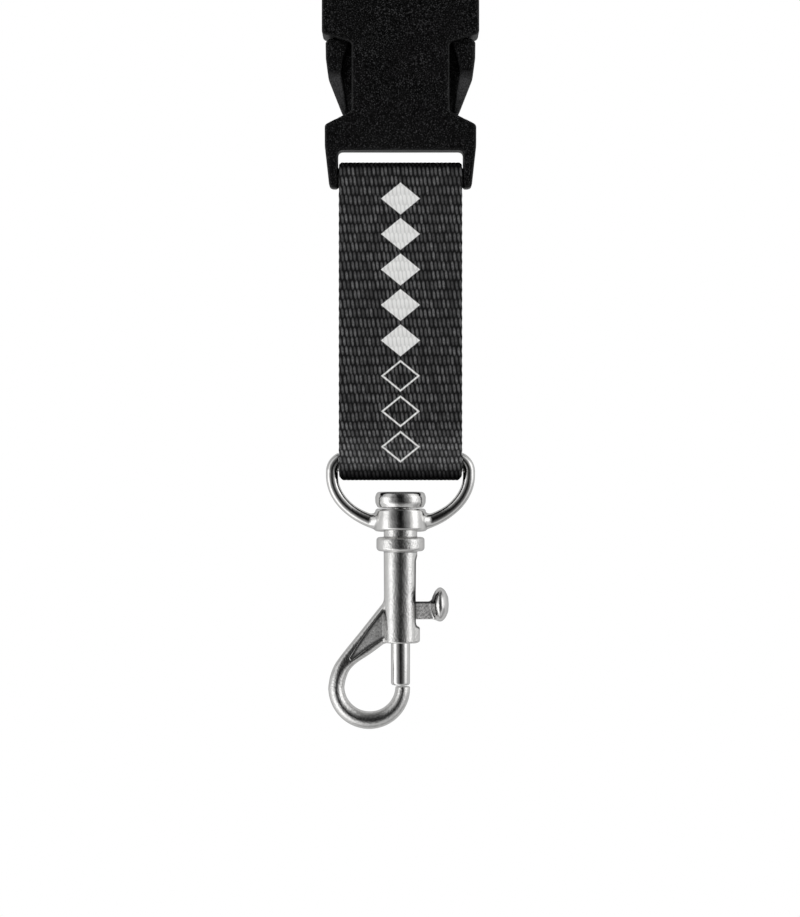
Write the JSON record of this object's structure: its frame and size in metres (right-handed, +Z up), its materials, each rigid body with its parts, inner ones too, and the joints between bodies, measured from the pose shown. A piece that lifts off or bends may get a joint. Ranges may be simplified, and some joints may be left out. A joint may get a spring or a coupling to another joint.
{
  "type": "lanyard",
  "caption": "Short lanyard end with a side-release buckle, a folded webbing strap and a swivel bolt snap that hangs from a rounded eye.",
  "frame": {"origin": "middle of the flat underside of the plug's strap bar, where the neck strap's loop bears and the lanyard hangs from", "axes": "+Z up along the hanging lanyard, -Y out of its front face, +X to the right seen from the front, on the thumb stud's side"},
  "size_m": [0.0318, 0.0106, 0.1632],
  "materials": {
    "black_plastic": "satin",
    "black_webbing": "matte",
    "black_thread": "matte",
    "polished_nickel": "polished",
    "spring_wire": "satin"
  },
  "bodies": {
    "plug": {"plug_body": "black_plastic"},
    "latch_left": {"latch_arm_left": "black_plastic"},
    "latch_right": {"latch_arm_right": "black_plastic"},
    "socket": {"socket_body": "black_plastic"},
    "strap": {"webbing_strap": "black_webbing", "seam_thread_outer": "black_thread", "seam_thread_inner": "black_thread"},
    "eye": {"swivel_eye": "polished_nickel"},
    "snap": {"snap_hook_body": "polished_nickel", "post_cap": "polished_nickel", "bolt_spring": "spring_wire"},
    "bolt": {"bolt_plunger": "polished_nickel", "thumb_stud": "polished_nickel"}
  },
  "joints": [
    {"name": "latch_left_press", "type": "hinge", "parent": "plug", "child": "latch_left", "pos_m": [-0.011, 0, -0.0098], "axis": [0, -1, 0], "range_deg": [0, 12], "stiffness_Nm_per_rad": 0.05},
    {"name": "latch_right_press", "type": "hinge", "parent": "plug", "child": "latch_right", "pos_m": [0.011, 0, -0.0098], "axis": [0, 1, 0], "range_deg": [0, 12], "stiffness_Nm_per_rad": 0.05},
    {"name": "buckle_release", "type": "slide", "parent": "plug", "child": "socket", "axis": [0, 0, -1], "range_m": [0, 0.026], "deforming": ["latch_arm_left", "latch_arm_right"]},
    {"name": "strap_swing", "type": "hinge", "parent": "socket", "child": "strap", "pos_m": [0, 0, -0.0471], "axis": [1, 0, 0], "range_deg": [-90, 90]},
    {"name": "eye_swing", "type": "hinge", "parent": "strap", "child": "eye", "pos_m": [0, 0, -0.1059], "axis": [1, 0, 0], "range_deg": [-100, 100]},
    {"name": "snap_swivel", "type": "hinge", "parent": "eye", "child": "snap", "pos_m": [0, 0, -0.1166], "axis": [0, 0, 1], "continuous": true},
    {"name": "bolt_pull", "type": "slide", "parent": "snap", "child": "bolt", "axis": [0, 0, 1], "range_m": [0, 0.0084], "stiffness_N_per_m": 300, "springref_m": -0.0033, "deforming": ["bolt_spring"]}
  ]
}
